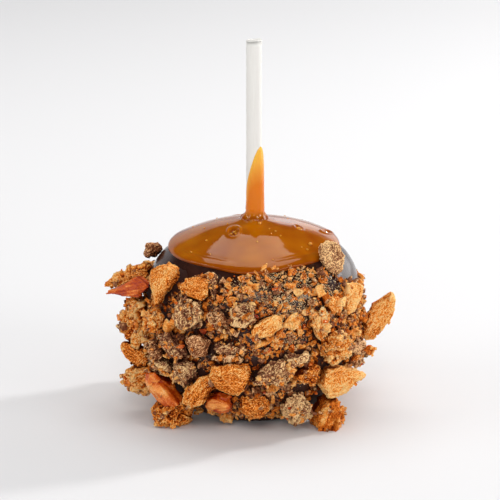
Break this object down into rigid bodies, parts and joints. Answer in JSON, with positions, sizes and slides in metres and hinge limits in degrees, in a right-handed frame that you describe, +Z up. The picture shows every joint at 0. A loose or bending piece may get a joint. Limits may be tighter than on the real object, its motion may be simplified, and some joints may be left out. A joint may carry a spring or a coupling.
{
  "type": "caramel apple",
  "caption": "Candied apple on a paper stick: dark chocolate coat, glossy caramel cap run up the stick, sides pressed with broken candy pieces.",
  "frame": {"origin": "middle of the flat foot that the apple rests on, under the stick's axis", "axes": "+Z up along the stick, -Y to the front, +X to the right seen from the front"},
  "size_m": [0.112, 0.0975, 0.144],
  "materials": {
    "chocolate_coat": "dark chocolate, set hard with a soft sheen",
    "caramel": "amber caramel, glossy and slightly see-through where thin",
    "paper": "white rolled paper",
    "brittle": "orange-brown brittle, crumbly and rough",
    "glazed": "broken brittle with glassy orange-red faces",
    "dusted": "candy lumps in tan crumb and dust",
    "chocolate": "milk chocolate bits, bloomed and dusted"
  },
  "bodies": {
    "root": {"chocolate_coat": "chocolate_coat", "caramel_cap": "caramel", "stick": "paper", "back_piece_01": "brittle", "back_piece_02": "brittle", "back_piece_03": "dusted", "back_piece_04": "brittle", "back_piece_05": "chocolate", "back_piece_06": "brittle", "back_piece_07": "glazed", "back_piece_08": "brittle", "back_piece_09": "brittle", "back_piece_10": "dusted", "back_piece_11": "brittle", "back_piece_12": "chocolate", "back_piece_13": "brittle", "back_piece_14": "glazed", "back_piece_15": "brittle", "back_piece_16": "brittle", "back_piece_17": "dusted", "front_ball": "dusted", "front_brown_lump": "dusted", "front_bud": "glazed", "front_crescent": "brittle", "front_fan": "brittle", "front_fibre": "dusted", "front_flake": "dusted", "front_heel": "dusted", "front_ledge": "dusted", "front_rib": "chocolate", "front_strip": "chocolate", "front_triangle": "brittle", "left_amber_lump": "brittle", "left_block": "brittle", "left_cone": "brittle", "left_crumb_mass": "brittle", "left_cube": "chocolate", "left_edge_shard": "brittle", "left_foot": "brittle", "left_grey_lump": "dusted", "left_knuckle": "brittle", "left_ledge": "dusted", "left_nib": "chocolate", "left_olive_lump": "dusted", "left_shelf": "dusted", "left_slab": "dusted", "left_sliver": "glazed", "left_splinter": "dusted", "left_star": "brittle", "left_wedge": "glazed", "right_cluster": "brittle", "right_column": "brittle", "right_crisp": "brittle", "right_fan": "brittle", "right_fin": "brittle", "right_foot": "glazed", "right_long_slab": "brittle", "right_nut": "chocolate", "rim_boulder": "dusted", "shoulder_knob": "chocolate"}
  },
  "joints": []
}
